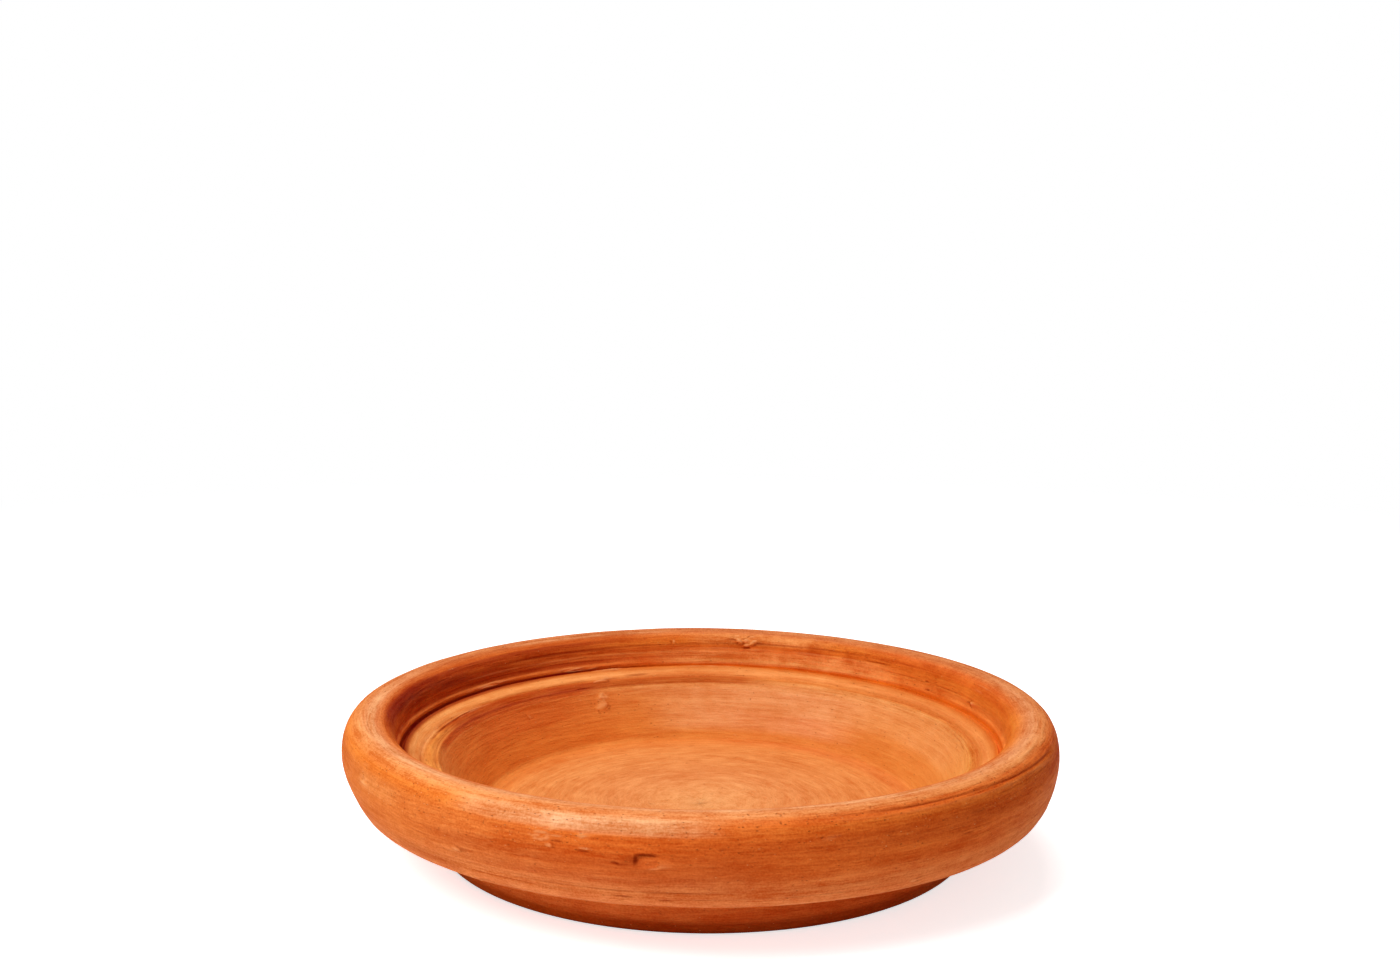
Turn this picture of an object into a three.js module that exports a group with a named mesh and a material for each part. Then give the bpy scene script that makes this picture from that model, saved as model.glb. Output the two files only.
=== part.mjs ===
// Unglazed terracotta tagine base: a thrown cooking dish with a folded, rolled rim.
// Millimetres, +Z up, origin at the centre of the foot.
//
// The dish is one wall of clay, so it is one outline turned about the Z axis. The outline
// starts at the centre of the foot, climbs the outside, rolls over the rim, comes down through
// the seat for the lid and the bowl, and ends at the centre of the floor. Every radius is
// taken inwards from the rim and every height from the foot or the crown, so a change of one
// size carries the rest of the section with it.

import * as THREE from 'three';

// Overall sizes
const rimDiameter = 300;
const overallHeight = 56.4;
const turnSegments = 80;

// Rolled rim, measured from its widest circle and from its crown
const crownInset = 9.3;
const crownFall = 13.7;
const crownFullness = 2.24;
const rollReach = 12.4;
const rollFall = 8.2;
const rollFullness = 2.1;

// Band outside the rim and the fold that ends it
const bandDepth = 34.6;
const foldInset = 8.9;
const bandFullness = 1.6;
const foldLipRadius = 2.5;

// Seam behind the fold, where the clay was turned down against the body
const seamGap = 2.4;
const seamHeightAboveFold = 4.4;

// Seat for the lid: throat, raised lip, deep groove and sloping ledge
const throatDepth = 13.1;
const throatLip = 1.2;
const lipRounding = 0.6;
const lipStep = 1.7;
const grooveWidth = 1.9;
const grooveDepth = 2.4;
const ledgeWidth = 6.4;
const ledgeDrop = 3;
const ledgeRounding = 1;

// Narrow shoulder and finger line between the ledge and the bowl
const shoulderWidth = 5.4;
const shoulderDrop = 0.8;
const fingerLineWidth = 1.8;
const fingerLineDepth = 0.5;

// Bowl
const bowlWallRun = 19.1;
const bowlWallHollow = 1.2;
const cornerRadius = 6;
const floorThickness = 12.4;
const floorRise = 0.8;

// Body below the fold, and the foot
const footBeyondFloor = 20.5;
const bodyFlare = 8;
const bodySwell = 0.8;
const footRounding = 3;

// Radii that follow from the sizes above
const rimRadius = rimDiameter / 2;
const crownRadius = rimRadius - crownInset;
const foldRadius = rimRadius - foldInset;
const throatRadius = crownRadius - rollReach;
const lipRadius = throatRadius - throatLip;
const ledgeOuterRadius = lipRadius - grooveWidth;
const ledgeInnerRadius = ledgeOuterRadius - ledgeWidth;
const fingerLineRadius = ledgeInnerRadius - shoulderWidth;
const bowlMouthRadius = fingerLineRadius - fingerLineWidth;
const floorRadius = bowlMouthRadius - bowlWallRun;
const footRadius = floorRadius + footBeyondFloor;
const seamRadius = footRadius + bodyFlare;

// Heights that follow from the sizes above
const widestHeight = overallHeight - crownFall;
const foldHeight = overallHeight - bandDepth;
const foldLipCentre = foldHeight + foldLipRadius;
const seamHeight = foldHeight + seamHeightAboveFold;
const rollFoot = overallHeight - rollFall;
const lipHeight = overallHeight - throatDepth;
const ledgeOuterHeight = lipHeight - lipStep;
const ledgeInnerHeight = ledgeOuterHeight - ledgeDrop;
const shoulderHeight = ledgeInnerHeight - shoulderDrop;
const floorEdgeHeight = floorThickness + floorRise;

const quarterTurn = Math.PI / 2;

const at = (radius, height) => new THREE.Vector2(radius, height);

// A place part of the way from one point to another
const between = (start, end, share) => start.clone().lerp(end, share);

// Quarter of a rounded square about its centre; a fullness of 2 makes it a plain ellipse.
// A negative reach or rise turns the quarter inwards or downwards.
function quarter(centre, reach, rise, fullness, fromTurn, toTurn, steps) {
  const points = [];
  for (let step = 0; step <= steps; step += 1) {
    const turn = (fromTurn + (toTurn - fromTurn) * step / steps) * quarterTurn;
    const across = Math.abs(Math.cos(turn)) ** (2 / fullness);
    const along = Math.abs(Math.sin(turn)) ** (2 / fullness);
    points.push(at(centre.x + reach * across, centre.y + rise * along));
  }
  return points;
}

// Smooth bend from one point to another, drawn towards the corner between them
function bend(start, corner, end, steps) {
  return new THREE.QuadraticBezierCurve(start, corner, end).getPoints(steps);
}

// Flat foot, rounded foot edge and the flaring body up to the seam
function bodyOutline() {
  const edgeCentre = at(footRadius - footRounding, footRounding);
  const edge = quarter(edgeCentre, footRounding, -footRounding, 2, 1, 0, 4);
  const bodyFoot = at(footRadius, footRounding);
  const bodyTop = at(seamRadius, foldLipCentre);
  const middle = between(bodyFoot, bodyTop, 0.5);
  const body = bend(bodyFoot, at(middle.x + bodySwell, middle.y), bodyTop, 4);
  return [at(0, 0), ...edge, ...body.slice(1)];
}

// Narrow seam, underside of the fold and its rounded lip
function foldOutline() {
  const seam = at(seamRadius + seamGap / 2, seamHeight);
  const undersideStart = at(seamRadius + seamGap, seamHeight);
  const lipCentre = at(foldRadius, foldLipCentre);
  const lip = quarter(lipCentre, -foldLipRadius, -foldLipRadius, 2, 0, 1, 4);
  return [seam, undersideStart, ...lip];
}

// Outer band, crown and the roll that turns down into the throat
function rimOutline() {
  const bandCentre = at(foldRadius, widestHeight);
  const bandRise = foldHeight - widestHeight;
  const band = quarter(bandCentre, foldInset, bandRise, bandFullness, 1, 0, 8);
  const crownCentre = at(crownRadius, widestHeight);
  const crown = quarter(crownCentre, crownInset, crownFall, crownFullness, 0, 1, 8);
  const rollCentre = at(crownRadius, rollFoot);
  const roll = quarter(rollCentre, -rollReach, rollFall, rollFullness, 1, 0, 7);
  return [...band.slice(1), ...crown.slice(1), ...roll.slice(1)];
}

// Throat, raised lip, deep groove and the ledge that carries the lid
function seatOutline() {
  const flareStart = at(throatRadius, lipHeight + throatLip);
  const lipStart = at(lipRadius + lipRounding, lipHeight + lipRounding / 2);
  const flare = bend(flareStart, at(throatRadius, lipHeight + lipRounding), lipStart, 2);
  const lipEdge = at(lipRadius, lipHeight - lipRounding);
  const grooveBed = ledgeOuterHeight - grooveDepth;
  const bedOuter = at(lipRadius - grooveWidth / 4, grooveBed);
  const bedInner = at(ledgeOuterRadius + grooveWidth / 4, grooveBed);
  const ledgeOuter = at(ledgeOuterRadius, ledgeOuterHeight);
  const ledgeInner = at(ledgeInnerRadius, ledgeInnerHeight);
  const edgeStart = between(ledgeInner, ledgeOuter, ledgeRounding / ledgeWidth);
  const edgeEnd = at(ledgeInnerRadius - ledgeRounding, shoulderHeight);
  const edge = bend(edgeStart, ledgeInner, edgeEnd, 3);
  return [...flare, lipEdge, bedOuter, bedInner, ledgeOuter, ...edge];
}

// Shoulder with its finger line, bowl wall, soft corner and floor
function bowlOutline() {
  const shoulderEdge = at(fingerLineRadius, shoulderHeight);
  const lineBed = at(fingerLineRadius - fingerLineWidth / 2, shoulderHeight - fingerLineDepth);
  const mouth = at(bowlMouthRadius, shoulderHeight - fingerLineDepth / 2);
  const corner = at(floorRadius, floorEdgeHeight);
  const wallEnd = between(corner, mouth, cornerRadius / corner.distanceTo(mouth));
  const middle = between(mouth, wallEnd, 0.5);
  const wall = bend(mouth, at(middle.x + bowlWallHollow, middle.y - bowlWallHollow), wallEnd, 5);
  const floorEdge = at(floorRadius - cornerRadius, floorEdgeHeight);
  const softCorner = bend(wallEnd, corner, floorEdge, 4);
  return [shoulderEdge, lineBed, ...wall, ...softCorner.slice(1), at(0, floorThickness)];
}

const section = [
  ...bodyOutline(),
  ...foldOutline(),
  ...rimOutline(),
  ...seatOutline(),
  ...bowlOutline(),
];

const dishGeometry = new THREE.LatheGeometry(section, turnSegments);
dishGeometry.rotateX(quarterTurn);

const terracotta = new THREE.MeshStandardMaterial({ color: 0xc8622d, roughness: 0.85, metalness: 0 });

const dish = new THREE.Mesh(dishGeometry, terracotta);
dish.name = 'dish';

const tagineBase = new THREE.Group();
tagineBase.add(dish);

export default tagineBase;
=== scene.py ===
import math
import random

import bpy
from mathutils import Matrix, Vector, noise


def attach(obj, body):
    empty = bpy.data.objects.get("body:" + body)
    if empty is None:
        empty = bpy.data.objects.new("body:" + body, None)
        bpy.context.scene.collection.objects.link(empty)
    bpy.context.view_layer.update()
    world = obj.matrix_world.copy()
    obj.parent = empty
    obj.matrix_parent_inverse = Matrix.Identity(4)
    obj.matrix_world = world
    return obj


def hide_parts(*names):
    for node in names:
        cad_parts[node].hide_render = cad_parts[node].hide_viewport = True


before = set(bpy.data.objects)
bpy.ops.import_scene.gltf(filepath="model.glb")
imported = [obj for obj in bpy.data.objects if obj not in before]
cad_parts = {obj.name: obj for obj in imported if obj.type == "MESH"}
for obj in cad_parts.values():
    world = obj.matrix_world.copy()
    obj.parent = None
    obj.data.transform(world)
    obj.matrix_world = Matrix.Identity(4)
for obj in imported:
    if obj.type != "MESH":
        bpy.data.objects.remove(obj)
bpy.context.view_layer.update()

mm = 0.001
print("frame loaded")


# small helpers for picking and finishing

def makeActive(piece):
    if bpy.context.mode != "OBJECT":
        bpy.ops.object.mode_set(mode="OBJECT")
    bpy.ops.object.select_all(action="DESELECT")
    piece.select_set(True)
    bpy.context.view_layer.objects.active = piece


def pickEdge(mesh, edge):
    edge.select = True
    for index in edge.vertices:
        mesh.vertices[index].select = True


def pick(piece, vertexTest=None, edgeTest=None):
    # leaves only the parts that pass a test selected; run in object mode
    mesh = piece.data
    for parts in (mesh.vertices, mesh.edges, mesh.polygons):
        parts.foreach_set("select", [False] * len(parts))
    if vertexTest:
        mesh.vertices.foreach_set("select", [vertexTest(v.co) for v in mesh.vertices])
    if edgeTest:
        ends = [v.co for v in mesh.vertices]
        for edge in mesh.edges:
            if edgeTest(ends[edge.vertices[0]], ends[edge.vertices[1]]):
                pickEdge(mesh, edge)


def editMode(kind):
    bpy.ops.object.mode_set(mode="EDIT")
    bpy.ops.mesh.select_mode(type=kind)


def objectMode():
    bpy.ops.object.mode_set(mode="OBJECT")


def cutSelected(kind, cuts):
    editMode(kind)
    bpy.ops.mesh.subdivide(number_cuts=cuts, smoothness=0)
    objectMode()


def applyModifiers(piece):
    makeActive(piece)
    for modifier in list(piece.modifiers):
        bpy.ops.object.modifier_apply(modifier=modifier.name)


def smoothStep(low, high, value):
    share = min(max((value - low) / (high - low), 0.0), 1.0)
    return share * share * (3 - 2 * share)


def bell(value, middle, width):
    return math.exp(-((value - middle) / width) ** 2)


# camera: the angle of the lower picture of the dish

view = {
    "place": Vector((0.0, -0.7157, 0.25424)),
    "lookDown": 8.104,      # degrees below level
    "turnLeft": 0.084,
    "roll": 0.36,
    "lens": 44.52,
    "sensor": 36.0,
}


def makeCamera():
    data = bpy.data.cameras.new("camera")
    data.lens = view["lens"]
    data.sensor_width = view["sensor"]
    camera = bpy.data.objects.new("camera", data)
    bpy.context.scene.collection.objects.link(camera)
    turn = Matrix.Rotation(math.radians(view["turnLeft"]), 4, "Z")
    tilt = Matrix.Rotation(math.radians(90 - view["lookDown"]), 4, "X")
    roll = Matrix.Rotation(math.radians(view["roll"]), 4, "Z")
    camera.matrix_world = Matrix.Translation(view["place"]) @ turn @ tilt @ roll
    bpy.context.scene.camera = camera


makeCamera()
print("camera placed")


# dish body: one section of the solid is kept as a wire, made finer and turned again

dishShape = {
    "turnSteps": 204,
    "mergeGap": 0.02 * mm,
    "longLine": 30 * mm,      # only the straight lines of the foot and the floor are as long
    "footTop": 5 * mm,        # a height above the foot and below the floor
    "footCuts": 5,
    "floorCuts": 15,
    # the seat for the lid is cut finer, to keep its small bends crisp
    "seatInside": 111 * mm,
    "seatHeights": (36 * mm, 45 * mm),
    "seatLine": 0.7 * mm,
    "seatCuts": 2,
    # throwing rings left by the fingers
    "ringHeight": 0.10 * mm,
    "ringSpacing": 7 * mm,
    "fineRings": 2.7,         # fine rings to one wide ring
    "ringShares": (1.6, 0.6),           # wide and fine
    "ringsBegin": (1.5 * mm, 6 * mm),   # heights above the foot
    "floorBegins": 280 * mm,  # way along the section
    "floorRings": 1.5,        # their strength on the floor
    # beads and creases left by the fingers: way along the section, push and half width, in mm
    "beads": [
        (157.9, 0.24, 1.1), (160.6, 0.08, 1.4), (163.4, 0.16, 1.2), (170.2, -0.16, 1.2),
        (224.2, 0.20, 0.6), (238.6, 0.35, 1.3), (246.8, -0.34, 1.6), (276.2, -0.60, 2.2),
    ],
}


def keepSection(node):
    wire = node.copy()
    wire.data = node.data.copy()
    wire.name = "dish_body"
    bpy.context.scene.collection.objects.link(wire)
    wire.parent = None
    wire.matrix_world = Matrix.Identity(4)
    makeActive(wire)
    editMode("VERT")
    bpy.ops.mesh.select_all(action="SELECT")
    bpy.ops.mesh.remove_doubles(threshold=dishShape["mergeGap"])
    objectMode()
    gap = dishShape["mergeGap"]
    pick(wire, vertexTest=lambda co: abs(co.y) > gap or co.x < -gap)
    editMode("VERT")
    bpy.ops.mesh.delete(type="VERT")
    objectMode()
    return wire


def followSection(wire):
    # vertex numbers from the centre of the foot to the centre of the floor
    mesh = wire.data
    neighbours = {v.index: [] for v in mesh.vertices}
    for edge in mesh.edges:
        a, b = edge.vertices
        neighbours[a].append(b)
        neighbours[b].append(a)
    ends = [index for index, near in neighbours.items() if len(near) == 1]
    here = min(ends, key=lambda index: mesh.vertices[index].co.z)
    order = [here]
    last = None
    while True:
        onward = [index for index in neighbours[here] if index != last]
        if not onward:
            return order
        last, here = here, onward[0]
        order.append(here)


def measureSection(wire):
    # the way along the section, in mm, is kept with each vertex for the marks and the colours
    mesh = wire.data
    order = followSection(wire)
    alongSection = mesh.attributes.new("run", "FLOAT", "POINT")
    run = 0.0
    for here, last in zip(order, [order[0]] + order):
        run += (mesh.vertices[here].co - mesh.vertices[last].co).length
        alongSection.data[here].value = run / mm


def cutLines(wire, cuts, test):
    pick(wire, edgeTest=test)
    cutSelected("EDGE", cuts)


def refineSection(wire):
    # cuts in the long straight lines first, so that only real bends are rounded
    longLine, footTop = dishShape["longLine"], dishShape["footTop"]
    low, high = dishShape["seatHeights"]
    cutLines(wire, dishShape["footCuts"], lambda a, b: (a - b).length > longLine and max(a.z, b.z) < footTop)
    cutLines(wire, dishShape["floorCuts"], lambda a, b: (a - b).length > longLine and min(a.z, b.z) > footTop)
    cutLines(wire, dishShape["seatCuts"], lambda a, b: (
        min(a.x, b.x) > dishShape["seatInside"] and min(a.z, b.z) > low and max(a.z, b.z) < high
        and (a - b).length > dishShape["seatLine"]
    ))
    rounding = wire.modifiers.new("rounding", "SUBSURF")
    rounding.levels = 1
    rounding.render_levels = 1
    applyModifiers(wire)


def addThrowingRings(wire):
    mesh = wire.data
    order = followSection(wire)
    places = [mesh.vertices[index].co.copy() for index in order]
    runs = [mesh.attributes["run"].data[index].value for index in order]
    wideShare, fineShare = dishShape["ringShares"]
    for step in range(1, len(order) - 1):
        run = runs[step] * mm
        along = places[step + 1] - places[step - 1]
        outwards = Vector((along.z, 0, -along.x)).normalized()
        strength = smoothStep(*dishShape["ringsBegin"], places[step].z)
        if run > dishShape["floorBegins"]:
            strength = dishShape["floorRings"]
        turns = run / dishShape["ringSpacing"]
        wide = noise.noise(Vector((turns, 3.7, 0)))
        fine = noise.noise(Vector((turns * dishShape["fineRings"], 9.1, 0)))
        push = dishShape["ringHeight"] * strength * (wide * wideShare + fine * fineShare)
        for middle, bead, width in dishShape["beads"]:
            push += bead * mm * bell(runs[step], middle, width)
        mesh.vertices[order[step]].co += outwards * push


def turnSection(wire):
    makeActive(wire)
    editMode("VERT")
    bpy.ops.mesh.select_all(action="SELECT")
    bpy.ops.mesh.spin(steps=dishShape["turnSteps"], angle=math.tau, center=(0, 0, 0), axis=(0, 0, 1))
    bpy.ops.mesh.select_all(action="SELECT")
    bpy.ops.mesh.remove_doubles(threshold=dishShape["mergeGap"])
    bpy.ops.mesh.normals_make_consistent(inside=False)
    objectMode()
    bpy.ops.object.shade_smooth()


dish = keepSection(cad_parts["dish"])
measureSection(dish)
refineSection(dish)
addThrowingRings(dish)
turnSection(dish)
print("dish turned:", len(dish.data.vertices), "vertices", len(dish.data.polygons), "faces")


# a thrown dish is never quite round: each turning sits a little to one side

unevenness = {
    # way along the section in mm, and how far to the right of the rim's centre that place sits
    "aside": [
        (0, 1.5 * mm), (125, 1.5 * mm), (150, 0.9 * mm), (166, 0.9 * mm), (185, 0.0),
        (242, 0.0), (247, 1.0 * mm), (275, 1.0 * mm), (300, 0.0), (400, 0.0),
    ],
    "loose": (2 * mm, 12 * mm),   # the foot stays flat, the clay above it wanders
    "wander": 0.35 * mm,          # slow waves round the dish
    "wavesRound": 1.3,
    "wavesAlong": 0.012,
    "hammered": 0.10 * mm,        # small hollows from the hands
    "hollowsPerMetre": 60,
    # lifts on one side: height, towards where, how far round, and where along the section
    # they rise and fall again
    "lifts": [
        # the fold climbs a little at the front left
        (0.5 * mm, (-0.42, -0.91), (0.3, 1.0), (138, 156), (160, 178)),
        # wet clay left in the groove at the right
        (0.4 * mm, (0.9, 0.43), (0.1, 0.8), (226.3, 228.6), (229.3, 231.5)),
    ],
}


def turnAside(run):
    table = unevenness["aside"]
    for (low, start), (high, end) in zip(table, table[1:]):
        if low <= run <= high:
            return start + (end - start) * smoothStep(low, high, run)
    return 0.0


def makeUneven(piece):
    mesh = piece.data
    runs = mesh.attributes["run"].data
    normals = [v.normal.copy() for v in mesh.vertices]
    wavesRound = unevenness["wavesRound"]
    for vertex, normal in zip(mesh.vertices, normals):
        co = vertex.co
        run = runs[vertex.index].value
        loose = smoothStep(*unevenness["loose"], co.z)
        turn = Vector((co.x, co.y, 0)).normalized()
        slow = noise.noise(Vector((turn.x * wavesRound, turn.y * wavesRound, run * unevenness["wavesAlong"])))
        hands = noise.noise(co * unevenness["hollowsPerMetre"] + Vector((5, 2, 9)))
        co += normal * loose * (unevenness["wander"] * slow + unevenness["hammered"] * hands)
        co.x += turnAside(run)
        for height, (towardsX, towardsY), reach, rise, fall in unevenness["lifts"]:
            side = smoothStep(*reach, towardsX * turn.x + towardsY * turn.y)
            co.z += height * side * smoothStep(*rise, run) * (1 - smoothStep(*fall, run))


makeUneven(dish)


# marks, one to a row: kind, angle round the dish in degrees from the front (right is positive),
# way along the section, reach to the side and along it, push outwards (all in mm), then slant
# and how much dirt and painted shade it holds where they differ from 0 and 1

markParts = ("kind", "angle", "run", "reach", "push", "slant", "dirt")
markRows = [
    ("fingertip", -6.9, 182.9, (4.8, 2.7), -1.3),
    ("scratch", -11.0, 181.3, (2.0, 0.9), -0.45, -0.25),
    ("scratch", -15.6, 184.6, (2.9, 0.6), -0.4),
    ("scratch", -15.4, 185.8, (2.6, 0.5), 0.35),
    ("scratch", -19.4, 189.0, (2.4, 0.5), 0.35),
    ("scratch", -19.2, 187.2, (2.2, 0.6), -0.4),
    ("lump", -20.4, 185.4, (1.6, 1.2), 0.45),
    ("crumbs", -21.8, 188.4, (4.6, 2.0), 0.5, 0, 1.3),
    ("crumbs", -20.6, 191.6, (4.2, 1.3), 0.5, 0, 1.3),
    ("crumbs", -15.6, 190.2, (3.0, 1.3), 0.4, 0, 1.3),
    ("crumbs", -59.0, 187.0, (5.0, 2.4), 0.32, 0, 1.2),
    # flecks and nicks along the lower band
    ("lump", -37.6, 163.0, (1.3, 0.6), 0.4),
    ("lump", -35.0, 163.2, (1.5, 0.6), 0.4),
    ("lump", -33.6, 161.8, (1.3, 0.5), 0.35),
    ("scratch", -27.4, 161.4, (2.2, 0.7), -0.45),
    ("scratch", -25.2, 161.0, (2.0, 0.7), -0.45),
    ("scratch", -10.6, 166.8, (4.2, 0.7), -0.4),
    ("scratch", -4.6, 165.6, (3.0, 0.6), -0.4),
    ("lump", -36.0, 176.5, (2.2, 1.2), 0.35),
    ("lump", 31.5, 166.0, (2.2, 1.0), 0.35),
    # crumbs of clay on the far side of the roll
    ("drip", 171.7, 213.8, (2.0, 1.6), 1.0, -0.5, 1.4),
    ("drip", 168.5, 214.4, (2.1, 1.7), 1.1, 0.7, 1.4),
    ("lump", 170.2, 213.4, (1.7, 1.5), 1.0, 0, 1.2),
    ("drip", 169.9, 215.8, (1.7, 1.2), 0.8, 0, 1.3),
    ("lump", 172.7, 212.0, (1.1, 1.0), 0.7),
    ("scratch", 170.3, 217.0, (2.8, 0.8), -0.5),
    ("lump", 172.4, 210.4, (1.7, 1.0), 0.4),
    ("lump", 169.0, 210.6, (2.0, 1.0), 0.45),
    ("lump", -173.8, 214.3, (0.9, 1.5), 0.6),
    ("lump", 108.3, 221.3, (2.2, 1.5), 0.7),
    ("scratch", 124.3, 223.2, (1.6, 0.6), -0.55),
    ("scratch", 124.8, 219.5, (2.0, 0.7), -0.45),
    ("scratch", 139.0, 216.6, (9.0, 0.6), -0.35),
    # a smear of slip that ran over the ledge and down the wall
    ("scratch", -164.8, 238.0, (6.5, 1.0), -0.6),
    ("drip", -155.2, 241.0, (4.6, 2.3), 0.65, 0.2, 0.9),
    ("crumbs", -156.0, 238.6, (5.0, 1.6), 0.6),
    ("crumbs", -153.8, 252.4, (3.4, 2.6), 0.55, 0, 1.3),
    ("drip", -153.2, 257.0, (3.6, 2.3), 0.5, 0.3, 0.8),
    # broken edges of the groove
    ("crumbs", -151.0, 225.0, (13.0, 1.5), 0.45),
    ("crumbs", -159.0, 232.4, (12.0, 1.4), 0.45),
    ("crumbs", -128.0, 224.6, (16.0, 1.2), 0.4),
    ("crumbs", 178.0, 232.6, (16.0, 1.1), 0.25),
    ("crumbs", -112.0, 240.6, (24.0, 1.8), 0.3),
    # lines drawn by the wet hand
    ("groove", -101.0, 241.4, (26.0, 0.9), -0.5, 0.01),
    ("groove", -96.0, 243.9, (22.0, 0.7), -0.4),
    ("groove", 46.0, 195.4, (84.0, 0.8), -0.34, -0.02),
    ("groove", 46.0, 193.6, (84.0, 0.8), 0.16, -0.02),
    ("groove", 52.0, 191.4, (60.0, 0.5), -0.16, -0.01),
    ("groove", -10.0, 169.6, (44.0, 0.5), -0.34),
    ("groove", 12.0, 166.4, (55.0, 0.5), -0.24),
    ("groove", -26.0, 167.8, (34.0, 0.4), -0.22),
    ("groove", -165.0, 215.8, (110.0, 0.8), -0.26, 0.012),
    ("groove", -148.0, 219.3, (90.0, 0.7), 0.22),
    ("groove", -140.0, 222.2, (80.0, 0.6), -0.22),
    ("groove", 150.0, 214.4, (70.0, 0.7), -0.2),
    ("groove", 120.0, 219.8, (60.0, 0.6), -0.2),
    ("groove", 160.0, 217.6, (60.0, 0.7), 0.18),
]

# small marks strewn by chance: how many, kind, where along the section, reach to the side and
# along it, and pushes, in mm
strewn = [
    (40, "lump", (156.2, 159.0), (0.8, 3.4), (0.4, 0.6), (0.15, 0.35)),
    (22, "scratch", (162, 173), (3.0, 9.0), (0.3, 0.45), (-0.22, -0.1)),
    (24, "lump", (174, 205), (0.5, 1.1), (0.4, 0.8), (0.08, 0.18)),
    (34, "scratch", (174, 207), (0.8, 3.6), (0.35, 0.6), (-0.3, -0.12)),
    (22, "scratch", (210, 223), (3.0, 8.0), (0.35, 0.5), (-0.25, 0.2)),
    (34, "scratch", (232.5, 248), (1.0, 5.0), (0.3, 0.5), (-0.3, -0.1)),
    (14, "lump", (249, 275), (0.5, 1.2), (0.5, 0.9), (0.12, 0.25)),
    (10, "scratch", (285, 360), (0.5, 1.4), (0.4, 0.7), (-0.25, -0.12)),
    (10, "scratch", (114, 136), (2.0, 7.0), (0.3, 0.5), (-0.22, -0.1)),
]

marking = {
    "cuts": {"fingertip": 13, "groove": 3, "other": 3, "strewn": 2},
    "smallFace": 1.0 * mm * mm,   # smaller faces are fine enough already
    "shortEdge": 0.9,             # in mm, as are the next ones
    "roomAside": 3,               # finer faces round a mark
    "roomAlong": 2.2,
    "room": 6,                    # a mark further off than this can't touch a place
    "fadeAside": 1.6,             # a mark has faded out at this many times its reach
    "fadeAlong": 2.5,
    "sliceAngle": 10,             # marks are sorted by side, in degrees, to find them fast
    "sliceRoom": 4,
    "narrowest": 85,
    "shadeAndDirtPerPush": 2.5,          # dirt and painted shade on a push of one mm
}
sliceCount = 360 // marking["sliceAngle"]


def strewMarks():
    chance = random.Random(5)
    found = []
    for count, kind, runs, asides, alongs, pushes in strewn:
        for _ in range(count):
            aside = chance.uniform(*asides)
            found.append({
                "kind": kind,
                "angle": chance.uniform(-180, 180),
                "run": chance.uniform(*runs),
                "reach": (aside, chance.uniform(*alongs)),
                "push": chance.uniform(*pushes),
            })
    return found


# a shape takes a and b from -1 to 1 over its mark, b up on the outside of the dish, and gives
# the height there and how dark it is: dirt and painted shade above 0, wear and painted highlight below

def fingertipShape(a, b, seed):
    # squarish, deepest at its top left, with a faint raised edge round it
    away = (abs(a) ** 3 + abs(b) ** 3) ** (1 / 3)
    inside = 1 - smoothStep(0.66, 1.0, away)
    corner = max(0.0, 0.7 * b - 0.6 * a + 0.2)
    raisedEdge = bell(away, 1.14, 0.15) * 0.2
    shadedLeftWall = bell(a, -0.90, 0.17) * bell(b, -0.02, 0.5)
    topWall = bell(away, 0.74, 0.28) * smoothStep(0.1, 0.6, b) * smoothStep(1.0, 0.2, a)
    rightEdge = bell(away, 1.04, 0.13) * smoothStep(0.5, 1.0, 0.8 * a - 0.6 * b)
    # its dark is painted shade on the left and top walls, turned from the lamps, and its pale right edge a painted
    # highlight
    return inside * (0.45 + 0.75 * corner) - raisedEdge, max(shadedLeftWall * 1.3, topWall * 0.85) - rightEdge * 0.45


def scratchShape(a, b, seed):
    line = max(0.0, 1 - a * a) * bell(b, 0.0, 0.625)
    return line, line


def grooveShape(a, b, seed):
    ends = 1 - smoothStep(0.45, 1.0, abs(a))
    waver = 0.35 * noise.noise(Vector((a * 3, seed, 0)))
    line = ends * math.exp(-((b + waver) * 1.5) ** 2)
    return line, line * (0.55 + 0.9 * noise.noise(Vector((a * 5, seed, 4))))


def crumbsShape(a, b, seed):
    rough = noise.noise(Vector((a * 2.6, b * 2.2, seed))) + 0.35
    height = max(0.0, 1 - a * a - b * b) * max(0.0, rough) * 1.8
    # pale where the crumbs stand up, a painted highlight
    return height, height * 0.9


def dripShape(a, b, seed):
    # a blob that ran: pale on its upper part and dark along its broken lower edge, a painted highlight and a
    # painted shade
    away = math.hypot(a, b) * (1 + 0.5 * noise.noise(Vector((a * 1.7, b * 1.7, seed))))
    height = max(0.0, 1 - away ** 3)
    broken = max(0.0, 0.75 + 0.8 * noise.noise(Vector((a * 2.5, b * 2.5, seed + 7))))
    lowerEdge = bell(away, 0.98, 0.15) * smoothStep(-0.35, 0.55, b + 0.35 * abs(a)) * broken
    return height, height * smoothStep(0.7, -0.2, b) - lowerEdge


def lumpShape(a, b, seed):
    away = math.hypot(a, b)
    height = max(0.0, 1 - away * away) ** 1.5
    # pale on its top, a painted highlight, with painted shade along its right rim, turned from the lamps
    rim = bell(away, 1.05, 0.2) * smoothStep(-0.6, 0.8, a)
    return height, height - rim * 0.8


shapes = {
    "fingertip": fingertipShape, "scratch": scratchShape, "groove": grooveShape,
    "crumbs": crumbsShape, "drip": dripShape, "lump": lumpShape,
}


def placeOnMark(mark, co, run):
    # across and along the mark, each from -1 to 1 inside it
    reachAside, reachAlong = mark["reach"]
    angle = math.degrees(math.atan2(co.x, -co.y)) - mark["angle"]
    angle = (angle + 180) % 360 - 180
    aside = math.radians(angle) * math.hypot(co.x, co.y) / mm
    return aside / reachAside, (run - mark["run"] - mark.get("slant", 0) * aside) / reachAlong


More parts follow.
